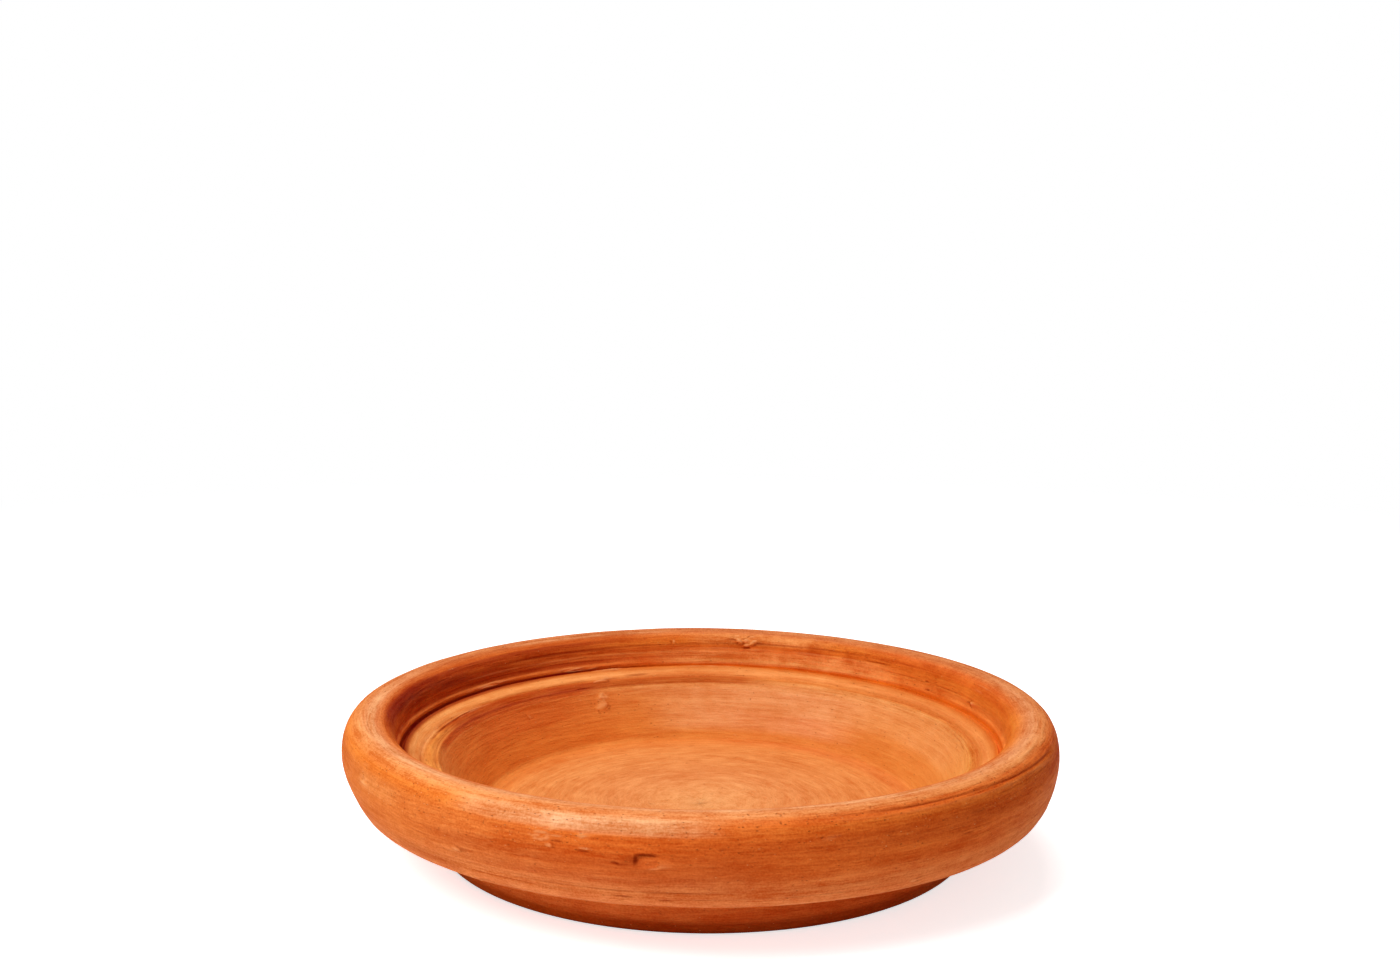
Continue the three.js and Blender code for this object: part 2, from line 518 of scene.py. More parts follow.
def sortBySide(chosenMarks):
    # lists of the marks that can touch each slice of the dish
    sliceAngle = marking["sliceAngle"]
    slices = {number: [] for number in range(sliceCount)}
    for mark in chosenMarks:
        reach = mark["reach"][0] * marking["fadeAside"] + marking["sliceRoom"]
        room = math.degrees(reach / marking["narrowest"]) + sliceAngle
        for number in range(sliceCount):
            away = ((number + 0.5) * sliceAngle - mark["angle"]) % 360 - 180
            if abs(away) < room:
                slices[number].append(mark)
    return slices


def sliceOf(co):
    return int((math.degrees(math.atan2(co.x, -co.y)) + 180) // marking["sliceAngle"]) % sliceCount


def findNear(mesh, chosenMarks):
    # numbers of the vertices on or close to a mark
    runs = mesh.attributes["run"].data
    slices = sortBySide(chosenMarks)
    near = set()
    for vertex in mesh.vertices:
        run = runs[vertex.index].value
        for mark in slices[sliceOf(vertex.co)]:
            reachAside, reachAlong = mark["reach"]
            if abs(run - mark["run"]) > reachAlong * 2 + marking["room"]:
                continue
            a, b = placeOnMark(mark, vertex.co, run)
            if abs(a) < 1 + marking["roomAside"] / reachAside and abs(b) < 1 + marking["roomAlong"] / reachAlong:
                near.add(vertex.index)
                break
    return near


def cutFinerFaces(piece, chosenMarks, cuts):
    mesh = piece.data
    near = findNear(mesh, chosenMarks)
    makeActive(piece)
    pick(piece)
    for face in mesh.polygons:
        face.select = face.area > marking["smallFace"] and all(index in near for index in face.vertices)
    cutSelected("FACE", cuts)


def cutFinerLines(piece, chosenMarks, cuts):
    # a long groove needs more lines beside it, but no more steps along it
    mesh = piece.data
    runs = mesh.attributes["run"].data
    near = findNear(mesh, chosenMarks)
    makeActive(piece)
    pick(piece)
    bpy.context.tool_settings.mesh_select_mode = (False, True, False)
    for edge in mesh.edges:
        a, b = edge.vertices
        if a in near and b in near and abs(runs[a].value - runs[b].value) > marking["shortEdge"]:
            pickEdge(mesh, edge)
    cutSelected("EDGE", cuts)


def pressMarks(piece):
    named = [dict(zip(markParts, row)) for row in markRows]
    small = strewMarks()
    allMarks = named + small
    for number, mark in enumerate(allMarks):
        mark["seed"] = 3.1 * number
    byKind = {"fingertip": [], "groove": [], "other": []}
    for mark in named:
        byKind.get(mark["kind"], byKind["other"]).append(mark)
    cuts = marking["cuts"]
    cutFinerFaces(piece, byKind["fingertip"], cuts["fingertip"])
    cutFinerFaces(piece, byKind["other"], cuts["other"])
    cutFinerFaces(piece, small, cuts["strewn"])
    cutFinerLines(piece, byKind["groove"], cuts["groove"])
    mesh = piece.data
    # dark from the marks is dirt and painted shade, pale is wear and painted highlight
    mesh.attributes.new("shadeAndDirt", "FLOAT", "POINT")
    runs = mesh.attributes["run"].data
    stainsAndPaintedLight = mesh.attributes["shadeAndDirt"].data
    slices = sortBySide(allMarks)
    fadeAside, fadeAlong = marking["fadeAside"], marking["fadeAlong"]
    pushes = []
    for vertex in mesh.vertices:
        run = runs[vertex.index].value
        push = 0.0
        shadeAndDirt = 0.0
        for mark in slices[sliceOf(vertex.co)]:
            if abs(run - mark["run"]) < mark["reach"][1] * fadeAlong + marking["room"]:
                a, b = placeOnMark(mark, vertex.co, run)
                if abs(a) < fadeAside and abs(b) < fadeAlong:
                    height, dark = shapes[mark["kind"]](a, b, mark["seed"])
                    push += mark["push"] * mm * height
                    dirt = min(max(mark["push"] * marking["shadeAndDirtPerPush"], -1.0), 1.0) * mark.get("dirt", 1.0)
                    shadeAndDirt -= dark * dirt
        if push:
            pushes.append((vertex, vertex.normal * push))
        if shadeAndDirt:
            stainsAndPaintedLight[vertex.index].value = min(max(shadeAndDirt, -1.0), 1.0)
    for vertex, push in pushes:
        vertex.co += push
    makeActive(piece)
    bpy.ops.object.shade_smooth()


pressMarks(dish)
print("marks pressed:", sum(len(face.vertices) - 2 for face in dish.data.polygons), "triangles")


# small helpers for nodes

def addNode(tree, kind, **settings):
    node = tree.nodes.new(kind)
    for name, value in settings.items():
        setattr(node, name, value)
    return node


def feed(tree, socket, value):
    if isinstance(value, bpy.types.NodeSocket):
        tree.links.new(value, socket)
    else:
        socket.default_value = value


def maths(tree, operation, first, second=0.0, third=0.0, clamp=False):
    node = addNode(tree, "ShaderNodeMath", operation=operation, use_clamp=clamp)
    for socket, value in zip(node.inputs, (first, second, third)):
        feed(tree, socket, value)
    return node.outputs[0]


def stretch(tree, value, fromLow, fromHigh, toLow=0.0, toHigh=1.0, smooth=False):
    node = addNode(tree, "ShaderNodeMapRange")
    if smooth:
        node.interpolation_type = "SMOOTHSTEP"
    for socket, part in zip(node.inputs, (value, fromLow, fromHigh, toLow, toHigh)):
        feed(tree, socket, part)
    return node.outputs[0]


def mixColour(tree, share, first, second, blend="MIX", label=""):
    node = addNode(tree, "ShaderNodeMix", data_type="RGBA", blend_type=blend, label=label)
    feed(tree, node.inputs[0], share)
    feed(tree, node.inputs[6], first)
    feed(tree, node.inputs[7], second)
    return node.outputs[2]


def mixShader(tree, share, first, second):
    node = addNode(tree, "ShaderNodeMixShader")
    for socket, value in zip(node.inputs, (share, first, second)):
        feed(tree, socket, value)
    return node.outputs[0]


def whiteLight(tree, kind, strength):
    node = addNode(tree, kind)
    feed(tree, node.inputs["Color"], (1, 1, 1, 1))
    feed(tree, node.inputs["Strength"], strength)
    return node.outputs[0]


def seenByViewer(tree):
    # 1 where the camera looks, straight or by way of a shiny or clear piece, and 0 for other rays
    rays = addNode(tree, "ShaderNodeLightPath").outputs
    seen = maths(tree, "MAXIMUM", rays["Is Camera Ray"], rays["Is Glossy Ray"])
    return maths(tree, "MAXIMUM", seen, rays["Is Transmission Ray"])


# the floor and the light

studio = {
    "floorSize": 6.0,
    "floorColour": (0.93, 0.93, 0.925, 1),
    "floorLift": 0.70,
    "floorFade": (0.35, 1.1),     # distances between which the floor turns plain white
    "worldStrength": 0.24,
    # name, place, size and power
    "lamps": [
        ("overhead", (0.1, 0.7, 1.2), 0.7, 8.6),
        ("side", (-0.65, -0.6, 1.0), 0.6, 11.0),
        ("front", (0.15, -1.3, 0.3), 0.8, 1.6),
    ],
}


def makeFloor():
    bpy.ops.mesh.primitive_plane_add(size=studio["floorSize"], location=(0, 0, 0))
    floor = bpy.context.object
    floor.name = "floor"
    material = bpy.data.materials.new("pale_floor")
    material.use_nodes = True
    tree = material.node_tree
    tree.nodes.clear()
    seen = seenByViewer(tree)
    matte = addNode(tree, "ShaderNodeBsdfDiffuse")
    feed(tree, matte.inputs["Color"], studio["floorColour"])
    nothing = whiteLight(tree, "ShaderNodeEmission", 0.0)
    lift = whiteLight(tree, "ShaderNodeEmission", studio["floorLift"])
    near = addNode(tree, "ShaderNodeAddShader")
    feed(tree, near.inputs[0], matte.outputs[0])
    feed(tree, near.inputs[1], mixShader(tree, seen, nothing, lift))
    distance = addNode(tree, "ShaderNodeVectorMath", operation="LENGTH")
    feed(tree, distance.inputs[0], addNode(tree, "ShaderNodeTexCoord").outputs["Object"])
    fade = stretch(tree, distance.outputs["Value"], *studio["floorFade"], smooth=True)
    farOff = whiteLight(tree, "ShaderNodeEmission", 1.0)
    whole = mixShader(tree, maths(tree, "MULTIPLY", fade, seen), near.outputs[0], farOff)
    feed(tree, addNode(tree, "ShaderNodeOutputMaterial").inputs["Surface"], whole)
    floor.data.materials.append(material)


def makeWorld():
    world = bpy.data.worlds.new("studio")
    bpy.context.scene.world = world
    world.use_nodes = True
    tree = world.node_tree
    tree.nodes.clear()
    soft = whiteLight(tree, "ShaderNodeBackground", studio["worldStrength"])
    white = whiteLight(tree, "ShaderNodeBackground", 1.0)
    whole = mixShader(tree, seenByViewer(tree), soft, white)
    feed(tree, addNode(tree, "ShaderNodeOutputWorld").inputs["Surface"], whole)


def makeSoftbox(name, place, size, power):
    data = bpy.data.lights.new(name, "AREA")
    data.shape = "SQUARE"
    data.size = size
    data.energy = power
    lamp = bpy.data.objects.new(name, data)
    bpy.context.scene.collection.objects.link(lamp)
    lamp.location = place
    lamp.rotation_mode = "QUATERNION"
    lamp.rotation_quaternion = Vector(place).to_track_quat("Z", "Y")
    lamp.visible_camera = False


makeFloor()
makeWorld()
for lamp in studio["lamps"]:
    makeSoftbox(*lamp)
bpy.context.scene.view_settings.view_transform = "Standard"
print("studio lit")


# shader groups of the clay

def startGroup(name, inputs, outputs):
    group = bpy.data.node_groups.new(name, "ShaderNodeTree")
    for label, start in inputs.items():
        kind = "NodeSocketFloat" if isinstance(start, float) else "NodeSocketVector"
        socket = group.interface.new_socket(name=label, in_out="INPUT", socket_type=kind)
        if isinstance(start, float):
            socket.default_value = start
    for label in outputs:
        kind = "NodeSocketVector" if label in ("Around", "Laid Out") else "NodeSocketFloat"
        group.interface.new_socket(name=label, in_out="OUTPUT", socket_type=kind)
    start = group.nodes.new("NodeGroupInput")
    end = group.nodes.new("NodeGroupOutput")
    return group, start.outputs, end.inputs


def useGroup(tree, group, **values):
    node = addNode(tree, "ShaderNodeGroup", node_tree=group)
    for name, value in values.items():
        label = "".join(" " + letter if letter.isupper() else letter for letter in name).title()
        feed(tree, node.inputs[label], value)
    return node.outputs


def makeWheelPlace():
    # direction round the wheel, and a place whose upright part follows the section
    tree, start, end = startGroup("wheel place", {"Coordinate": None, "Run": 0.0}, ["Around", "Laid Out"])
    parts = addNode(tree, "ShaderNodeSeparateXYZ")
    feed(tree, parts.inputs[0], start["Coordinate"])
    flat = addNode(tree, "ShaderNodeCombineXYZ")
    feed(tree, flat.inputs[0], parts.outputs[0])
    feed(tree, flat.inputs[1], parts.outputs[1])
    around = addNode(tree, "ShaderNodeVectorMath", operation="NORMALIZE")
    feed(tree, around.inputs[0], flat.outputs[0])
    laidOut = addNode(tree, "ShaderNodeCombineXYZ")
    feed(tree, laidOut.inputs[0], parts.outputs[0])
    feed(tree, laidOut.inputs[1], parts.outputs[1])
    feed(tree, laidOut.inputs[2], maths(tree, "MULTIPLY", start["Run"], 2 * mm))  # grains lie flat
    feed(tree, end["Around"], around.outputs[0])
    feed(tree, end["Laid Out"], laidOut.outputs[0])
    return tree


def makeThrowingLines():
    # streaks that follow the wheel: wide along it, thin across it
    tree, start, end = startGroup(
        "throwing lines",
        {"Around": None, "Run": 0.0, "Line Width": 1.5, "Line Count": 8.0, "Seed": 0.0},
        ["Lines"],
    )
    spread = addNode(tree, "ShaderNodeVectorMath", operation="SCALE")
    feed(tree, spread.inputs[0], start["Around"])
    feed(tree, spread.inputs["Scale"], start["Line Count"])
    across = addNode(tree, "ShaderNodeCombineXYZ")
    feed(tree, across.inputs[2], maths(tree, "DIVIDE", start["Run"], start["Line Width"]))
    place = addNode(tree, "ShaderNodeVectorMath", operation="ADD")
    feed(tree, place.inputs[0], spread.outputs[0])
    feed(tree, place.inputs[1], across.outputs[0])
    streaks = addNode(tree, "ShaderNodeTexNoise", noise_dimensions="4D")
    feed(tree, streaks.inputs["Vector"], place.outputs[0])
    feed(tree, streaks.inputs["W"], start["Seed"])
    streaks.inputs["Scale"].default_value = 1.0
    streaks.inputs["Detail"].default_value = 2.5
    streaks.inputs["Roughness"].default_value = 0.55
    feed(tree, end["Lines"], stretch(tree, streaks.outputs[0], 0.25, 0.75))
    return tree


def placeInUnits(tree, coordinate, unit):
    # the place in metres, counted in units given in mm
    scaled = addNode(tree, "ShaderNodeVectorMath", operation="SCALE")
    feed(tree, scaled.inputs[0], coordinate)
    feed(tree, scaled.inputs["Scale"], maths(tree, "DIVIDE", 1 / mm, unit))
    return scaled.outputs[0]


def makeClayPatches():
    tree, start, end = startGroup(
        "clay patches", {"Coordinate": None, "Patch Size": 20.0, "Seed": 0.0}, ["Patches"]
    )
    cloud = addNode(tree, "ShaderNodeTexNoise", noise_dimensions="4D")
    feed(tree, cloud.inputs["Vector"], placeInUnits(tree, start["Coordinate"], start["Patch Size"]))
    feed(tree, cloud.inputs["W"], start["Seed"])
    cloud.inputs["Scale"].default_value = 1.0
    cloud.inputs["Detail"].default_value = 3.0
    feed(tree, end["Patches"], stretch(tree, cloud.outputs[0], 0.28, 0.72))
    return tree


def makeGrains():
    # small round grains or pores, only in some of the cells
    tree, start, end = startGroup(
        "grains",
        {"Coordinate": None, "Spacing": 2.0, "Grain Size": 0.3, "Coverage": 0.3, "Seed": 0.0},
        ["Grains"],
    )
    cells = addNode(tree, "ShaderNodeTexVoronoi", voronoi_dimensions="4D")
    feed(tree, cells.inputs["Vector"], placeInUnits(tree, start["Coordinate"], start["Spacing"]))
    feed(tree, cells.inputs["W"], start["Seed"])
    cells.inputs["Scale"].default_value = 1.0
    edge = maths(tree, "MULTIPLY", start["Grain Size"], 0.45)
    grain = stretch(tree, cells.outputs["Distance"], start["Grain Size"], edge, smooth=True)
    chance = addNode(tree, "ShaderNodeSeparateColor")
    feed(tree, chance.inputs[0], cells.outputs["Color"])
    kept = maths(tree, "LESS_THAN", chance.outputs[0], start["Coverage"])
    feed(tree, end["Grains"], maths(tree, "MULTIPLY", grain, kept))
    return tree


def makeBetween():
    # 1 from the low value to the high one, with soft ends
    tree, start, end = startGroup(
        "between", {"Value": 0.0, "Low": 0.0, "High": 1.0, "Softness": 0.1}, ["Mask"]
    )
    slopes = []
    for side, first, last in (("Low", 0.0, 1.0), ("High", 1.0, 0.0)):
        below = maths(tree, "SUBTRACT", start[side], start["Softness"])
        above = maths(tree, "ADD", start[side], start["Softness"])
        slopes.append(stretch(tree, start["Value"], below, above, first, last, smooth=True))
    feed(tree, end["Mask"], maths(tree, "MULTIPLY", *slopes))
    return tree


wheelPlace = makeWheelPlace()
throwingLines = makeThrowingLines()
clayPatches = makeClayPatches()
grains = makeGrains()
between = makeBetween()
print("clay groups ready")


# terracotta: colours are given by the way along the section, in mm from the centre of the foot

terracotta = {
    "sectionLength": 369.0,
    "colours": [
        (0, (0.68, 0.20, 0.055)),
        (108, (0.64, 0.13, 0.02)),
        # the dark stop at 114.5 is painted shade along the lower edge of the body, where it meets the floor
        (114.5, (0.6, 0.1, 0.009)),
        (120, (0.92, 0.173, 0.029)),
        (130, (0.9, 0.199, 0.037)),
        (155, (0.80, 0.19, 0.030)),
        (157.8, (0.95, 0.285, 0.099)),
        (164.5, (0.945, 0.25, 0.073)),
        (169.8, (0.825, 0.204, 0.051)),
        (173, (0.84, 0.191, 0.04)),
        (179, (0.77, 0.155, 0.024)),
        (190, (0.74, 0.139, 0.017)),
        (195, (0.91, 0.211, 0.027)),
        (200, (0.925, 0.335, 0.112)),
        (205, (0.82, 0.305, 0.134)),
        (210, (0.8, 0.188, 0.03)),
        (214, (0.72, 0.158, 0.013)),
        (219, (0.865, 0.272, 0.05)),
        (224, (0.84, 0.185, 0.033)),
        (225.6, (0.9, 0.152, 0.0055)),
        (231.6, (0.83, 0.145, 0.004)),
        (232.4, (0.795, 0.2, 0.022)),
        (236, (0.98, 0.392, 0.124)),
        (238.5, (0.88, 0.285, 0.078)),
        (243, (0.76, 0.243, 0.039)),
        (249, (0.91, 0.333, 0.092)),
        (264, (0.84, 0.27, 0.053)),
        (274, (0.83, 0.263, 0.048)),
        (279, (0.81, 0.238, 0.046)),
        (288, (0.84, 0.294, 0.078)),
        (330, (0.835, 0.295, 0.096)),
        (369, (0.98, 0.446, 0.178)),
    ],
    # how strongly the throwing lines and patches show along the section
    "contrast": [
        (0, 0.4), (112, 0.8), (160, 1.2), (176, 1.0), (192, 1.2), (200, 1.3), (211, 1.2), (214, 1.6), (222, 1.6),
        (224, 1.2), (233, 0.7), (239, 0.8), (241, 1.2), (252, 0.76), (274, 0.65), (290, 0.76), (369, 0.78),
    ],
    # how much dry dust lies on the clay along the section
    "dustiness": [
        (0, 0.20), (112, 0.05), (158, 0.20), (163, 0.34), (170, 0.28), (178, 0.05), (192, 0.05), (200, 0.22),
        (208, 0.15), (212, 0.06), (222, 0.08), (225, 0.10), (226, 0.0), (231.5, 0.0), (233, 0.12), (239, 0.12),
        (243, 0.10), (250, 0.22), (272, 0.10), (290, 0.22), (369, 0.22),
    ],
    # streaks along the wheel: width in mm, how many round the dish, seed
    "streaks": {
        "wide": (5.0, 2.0, 1.0), "middling": (1.7, 6.0, 4.0), "fine": (0.6, 12.0, 7.0), "grit": (0.6, 44.0, 11.0),
    },
    # clouds in the clay: size in mm, seed
    "clouds": {"patches": (26.0, 2.0), "cloud": (7.0, 5.0), "sand": (0.8, 13.0)},
    # single grains: spacing in mm, size as a share of it, seed
    "grains": {"pores": (1.6, 0.34, 3.0), "specks": (1.8, 0.26, 8.0)},
    "grainsOnRoll": (184.0, 207.0, 4.0),    # from, to and softness
    "grainCoverage": (0.10, 0.36),          # everywhere, and more on the roll
    # how the patterns add up to one tone, and to the relief in mm
    "lineParts": {"middling": 0.33, "wide": 0.40, "fine": 0.27},
    "mottleParts": {"cloud": 0.4, "patches": 0.6},
    "sandParts": {"sand": 0.38, "grit": 0.36},
    "sandMiddle": 0.37,
    "lineShare": (1.30, 0.80),              # usual, and where the clay is smoothed
    "patchShare": (0.50, 1.00),
    "sandShare": (207.0, 216.0, 1.0, 0.5),  # less inside the rim
    "toneRange": (0.50, 1.30, -0.5, 0.5),
    "reliefParts": {"wide": 0.26, "middling": 0.20, "fine": 0.10, "cloud": 0.12, "grit": 0.10, "sand": 0.06},
    "grainRelief": {"pores": -0.28, "specks": 0.12},
    "reliefByContrast": (0.3, 1.0, 0.55, 1.25),
    # painted light and shade: the side facing the lamps is painted paler, with its lines showing less, and the
    # side turned from them is painted redder and darker
    "litSide": (-0.966, 0.259, 0.0),
    "litSideEvens": (0.3, 0.9, 1.0, 0.42),
    "paintedLightTint": (1.00, 1.22, 1.15, 1),
    "paintedShadeTint": (0.90, 0.76, 0.60, 1),
    "darkTone": (0.76, 0.50, 0.28, 1),
    "paleTone": (1.12, 1.24, 1.26, 1),
    "dust": (0.88, 0.35, 0.12, 1),
    "poreColour": (0.42, 0.07, 0.008, 1),
    "poreAmount": 0.55,
    "speckColour": (0.94, 0.44, 0.18, 1),
    "speckAmount": 0.45,
    # marks are darker in their hollows and on their sides turned from the lamps, dirt and painted shade, and pale
    # on their tops, wear and painted highlight
    "dirt": (0.50, 0.28, 0.14, 1),
    "rubbedAndLitTop": (1.0, 0.45, 0.17, 1),
    "rubbedAndLitAmount": 0.5,
    # dull clay, with a faint sheen where the roll was rubbed
    "shine": 0.02,
    "roughness": (0.2, 0.8, 0.80, 0.60),
    "rubbed": {"angle": -13, "spread": (9, 28), "reach": (191.5, 199), "soft": 2.0},
    "sheen": (0.2, 0.9, 0.05, 0.35),
    "sheenRoughness": 0.38,
    # here a hand smoothed the lines away and left patches
    "smoothed": {"angle": 116, "spread": (34, 66), "reach": (205, 226), "soft": 3.0},
    "stainAndShadePatches": (0.25, 0.65, 0.72, 1.0),
    # stains of slip and dust, with painted shade and painted light where the lamps leave the clay darker or
    # lighter: angle from the front and spread to each side in degrees, reach along the section and softness in mm,
    # colour, whether it covers or darkens, amount
    "stainsAndPaintedLight": [
        # painted shade in the throat on the left, which faces away from the lamps
        ("painted shade in the left throat", -116, (24, 56), (211, 223.4), 0.9, (0.6, 0.28, 0.07), "MULTIPLY", 1.0),
        # painted shadow under the lip, in the groove at the left
        ("painted shade in the left groove", -112, (30, 70), (225.6, 232.0), 0.4, (0.4, 0.045, 0.006), "MULTIPLY", 1.0),
        # painted highlight on the crest of the lip at the left
        ("painted highlight on the left lip", -122, (20, 50), (223.9, 224.6), 0.4, (0.9, 0.25, 0.05), "MIX", 0.4),
        # painted shadow of the roll on the outer edge of the ledge at the left
        ("painted shadow on the ledge's outer edge", -106, (20, 52), (229.5, 233.6), 0.8, (0.48, 0.2, 0.1), "MULTIPLY", 1.0),
        # painted shade on the inner edge of the roll at the left, turned from the lamps
        ("painted shade on the left inner edge of the roll", -96, (6, 20), (209.5, 216), 1.2, (0.66, 0.33, 0.06), "MULTIPLY", 1.1),
        # painted light in the groove at the right, which faces the lamps
        ("painted light in the groove at the right", 114, (38, 68), (226.4, 231.9), 0.5, (0.86, 0.24, 0.04), "MIX", 0.62),
        ("redder right of the ledge", 108, (18, 38), (232, 241), 1, (0.84, 0.66, 0.52), "MULTIPLY", 1.0),
        ("dusty right wall", 128, (20, 52), (243, 262), 2.5, (0.86, 0.36, 0.15), "MIX", 0.45),
        # painted shade on the back of the crown, turned from the lamps
        ("painted shade on the back of the crown", -185, (50, 90), (203.5, 208), 1.8, (0.82, 0.64, 0.48), "MULTIPLY", 1.2),
        # painted shade on the inside of the roll at the back left
        ("painted shade on the back left of the roll", -138, (16, 40), (206, 213), 2.5, (0.82, 0.6, 0.35), "MULTIPLY", 1.2),
        ("dust by the crumbs", 167, (4, 18), (209, 215), 1.5, (0.95, 0.38, 0.13), "MIX", 0.6),
        # painted light on the ledge at the left, where the lamps reach it
        ("painted light on the left ledge", -114, (18, 50), (234.2, 239.4), 0.8, (1.0, 0.42, 0.13), "MIX", 0.6),
        # painted shade on the steep shoulder at the left and back, turned from the lamps
        ("painted shade on the shoulder", -148, (40, 52), (239.8, 247.2), 1.0, (0.64, 0.31, 0.09), "MULTIPLY", 1.0),
        # painted highlight on the crest at the ledge's inner edge
        ("painted highlight on the edge of the ledge", -100, (10, 22), (238.4, 240.6), 0.5, (1.0, 0.42, 0.14), "MIX", 0.85),
        # painted shade in the crease below the shoulder, at the left
        ("painted shade in the crease below the shoulder", -121, (24, 36), (245.8, 249.6), 0.6, (0.8, 0.38, 0.13), "MULTIPLY", 1.1),
        # painted shade at the left end of the shoulder
        ("painted shade at the end of the shoulder", -102, (9, 18), (243.0, 248.6), 0.8, (0.78, 0.64, 0.6), "MULTIPLY", 0.4),
        ("dusty back of the lip", -192, (10, 24), (219.6, 225.0), 1.0, (1.0, 0.5, 0.16), "MIX", 0.35),
        # painted shade on the inner wall at the left, turned from the lamps
        ("painted shade on the left wall", -122, (12, 50), (250, 275.2), 0.9, (0.95, 0.74, 0.48), "MULTIPLY", 1.1),
        # painted shade, deepest at the left of the wall
        ("darker painted shade left of the wall", -128, (8, 21), (249.5, 261.0), 1.4, (0.9, 0.66, 0.38), "MULTIPLY", 1.0),
        # painted shade on the shoulder at the left
        ("darker painted shade left of the shoulder", -130, (18, 30), (239.4, 246.2), 0.8, (0.88, 0.6, 0.22), "MULTIPLY", 1.0),
        ("dusty mouth of the bowl", 167, (20, 37), (247.2, 252.0), 1.1, (1.0, 0.48, 0.2), "MIX", 0.42),
        ("dusty far wall", 164, (12, 34), (250, 272), 2.5, (0.97, 0.48, 0.25), "MIX", 0.42),
        # painted highlight of the side lamp on the front of the roll
        ("painted highlight on the front of the roll", -17, (9, 22), (191.8, 198.0), 1.4, (1.0, 0.6, 0.33), "MIX", 0.55),
        # painted light on the top of the crown at the front, facing the lamps
        ("painted light on the crown at the front", -28, (58, 90), (203.2, 206.5), 0.8, (1.0, 0.5, 0.24), "MIX", 0.55),
        ("redder right of the roll", 46, (28, 48), (194.0, 198.0), 0.9, (0.95, 0.68, 0.4), "MULTIPLY", 1.0),
        ("redder middle of the band", 22, (18, 34), (183.5, 189.5), 1.5, (0.9, 0.82, 0.76), "MULTIPLY", 1.0),
        ("pale patch left of the band", -55, (2, 9), (185, 191), 2.5, (0.95, 0.42, 0.14), "MIX", 0.28),
        ("paler left of the band", -50, (14, 34), (174, 192), 4.0, (0.95, 0.36, 0.11), "MIX", 0.24),
        ("redder right of the throat", 112, (30, 62), (214, 220.5), 1.6, (0.93, 0.68, 0.48), "MULTIPLY", 1.0),
        ("duller front of the lower band", -16, (13, 32), (171, 184), 3.0, (0.84, 0.76, 0.84), "MULTIPLY", 1.0),
        ("redder right corner of the floor", 124, (24, 62), (262, 283), 3, (0.95, 0.84, 0.88), "MULTIPLY", 1.0),
        ("dusty back of the throat", 162, (16, 31), (217.6, 225), 1.0, (0.95, 0.38, 0.12), "MIX", 0.72),
        ("pale streak in the throat", -147, (5, 14), (216.8, 221.2), 0.7, (0.9, 0.28, 0.05), "MIX", 0.4),
        ("red streak in the throat", -122, (5, 13), (217.0, 219.4), 0.6, (0.8, 0.5, 0.3), "MULTIPLY", 1.0),
        ("pale top of the back", -155, (8, 20), (205.4, 207.4), 0.7, (1.0, 0.5, 0.24), "MIX", 0.5),
        ("brown smudge on the lower band", -44, (3, 9), (163.5, 170), 2.0, (0.82, 0.68, 0.58), "MULTIPLY", 1.0),
        ("dark streak in the throat", -107, (8, 20), (214.6, 219.2), 0.8, (0.72, 0.46, 0.28), "MULTIPLY", 1.0),
        # painted contact shadow along the foot, where it meets the floor
        ("painted contact shade at the foot edge", 4, (80, 150), (100, 112.6), 0.7, (0.6, 0.42, 0.45), "MULTIPLY", 1.0),
        ("shade at the foot", 14, (22, 44), (110, 117.6), 1.0, (0.82, 0.66, 0.6), "MULTIPLY", 1.0),
        ("paler left of the body", -30, (16, 38), (117.5, 126), 1.5, (0.96, 0.29, 0.07), "MIX", 0.28),
        ("red line round the throat", -172, (24, 42), (215.6, 218.6), 0.8, (0.84, 0.58, 0.36), "MULTIPLY", 1.1),
        ("redder right edge of the roll", 116, (10, 34), (209, 215), 1.5, (0.92, 0.66, 0.6), "MULTIPLY", 1.1),
        # painted shade on the outside at the back, turned from the lamps
        ("painted shade on the outside at the back", 180, (68, 110), (172, 203.2), 2, (0.7, 0.5, 0.38), "MULTIPLY", 0.9),
        ("dusty right of the band", 72, (10, 30), (163, 182), 5.0, (0.88, 0.34, 0.12), "MIX", 0.2),
    ],
}


def makeRamp(tree, value, stops):
    ramp = addNode(tree, "ShaderNodeValToRGB")
    feed(tree, ramp.inputs[0], maths(tree, "DIVIDE", value, terracotta["sectionLength"]))
    elements = ramp.color_ramp.elements
    (_, first), *middle, (_, last) = stops
    elements[0].position = 0.0
    elements[0].color = (*first, 1)
    elements[1].position = 1.0
    elements[1].color = (*last, 1)
    for place, colour in middle:
        stop = elements.new(place / terracotta["sectionLength"])
        stop.color = (*colour, 1)
    return ramp.outputs[0]


def sideAndRunMask(tree, around, run, angle, spread, reach, soft):
    # full within the first spread to each side of its angle, gone at the second
    angle = math.radians(angle)
    full, gone = (math.cos(math.radians(side)) for side in spread)
    towards = addNode(tree, "ShaderNodeVectorMath", operation="DOT_PRODUCT")
    feed(tree, towards.inputs[0], around)
    feed(tree, towards.inputs[1], (math.sin(angle), -math.cos(angle), 0))
    aside = stretch(tree, towards.outputs["Value"], gone, full, smooth=True)
    low, high = reach
    along = useGroup(tree, between, value=run, low=float(low), high=float(high), softness=soft)[0]
    return maths(tree, "MULTIPLY", aside, along)


def greyRamp(tree, run, table):
    return makeRamp(tree, run, [(place, (grey,) * 3) for place, grey in table])


def tint(tree, colour, second):
    return mixColour(tree, 1.0, colour, second, "MULTIPLY")


